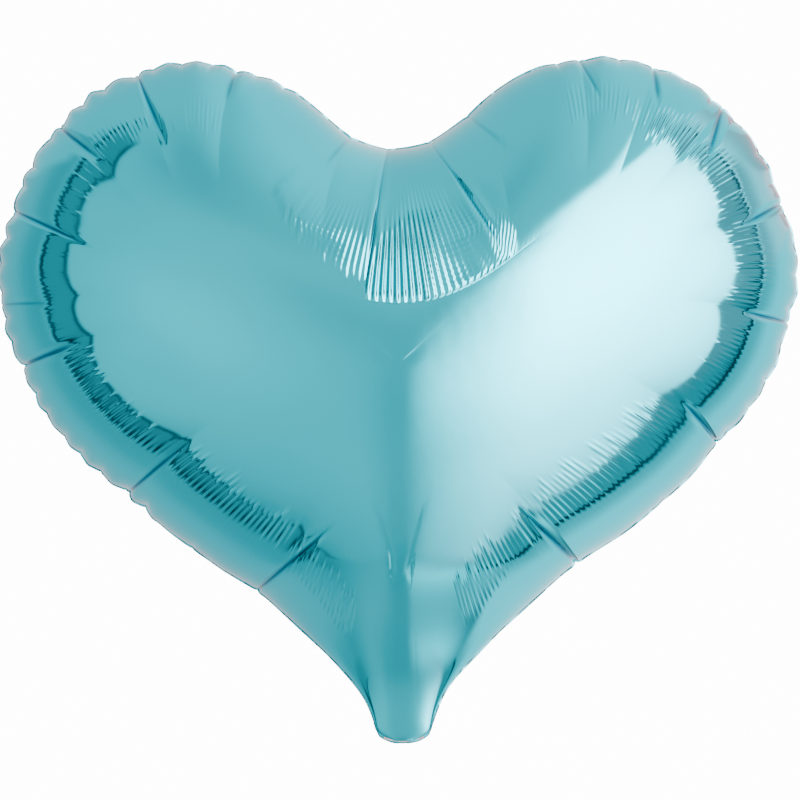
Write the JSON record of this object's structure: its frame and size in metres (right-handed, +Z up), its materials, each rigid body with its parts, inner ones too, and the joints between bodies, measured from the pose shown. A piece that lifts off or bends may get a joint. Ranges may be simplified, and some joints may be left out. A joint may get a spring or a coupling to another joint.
{
  "type": "heart-shaped foil balloon",
  "caption": "Gas-filled heart balloon of two metallised foils welded round the edge, with a flat self-sealing valve in the neck and a filling tail folded up behind it.",
  "frame": {"origin": "middle of the neck, in the plane of the edge weld, at the height where a ribbon is tied", "axes": "+X to the heart's left lobe as a viewer of the back sees it, across the widest part; +Y out of the back foil; +Z up, from the neck to the lobes. The front foil faces -Y."},
  "size_m": [0.38, 0.1476, 0.3272],
  "materials": {
    "foil": "metallised film, satin, pale turquoise",
    "foil_weld": "heat-welded film, smooth, pale turquoise",
    "valve_film": "clear soft film"
  },
  "bodies": {
    "balloon": {"front_foil": "foil", "back_foil": "foil", "edge_weld": "foil_weld", "valve_front_film": "valve_film", "valve_back_film": "valve_film", "valve_side_seals": "valve_film"},
    "tail": {"tail_front_foil": "foil", "tail_back_foil": "foil", "tail_side_welds": "foil_weld", "tail_valve_front_film": "valve_film", "tail_valve_back_film": "valve_film", "tail_valve_side_seals": "valve_film"}
  },
  "joints": [
    {"name": "tail_fold", "type": "hinge", "parent": "balloon", "child": "tail", "pos_m": [0, 0.0016, -0.0152], "axis": [-1, 0, 0], "range_deg": [0, 142]}
  ]
}
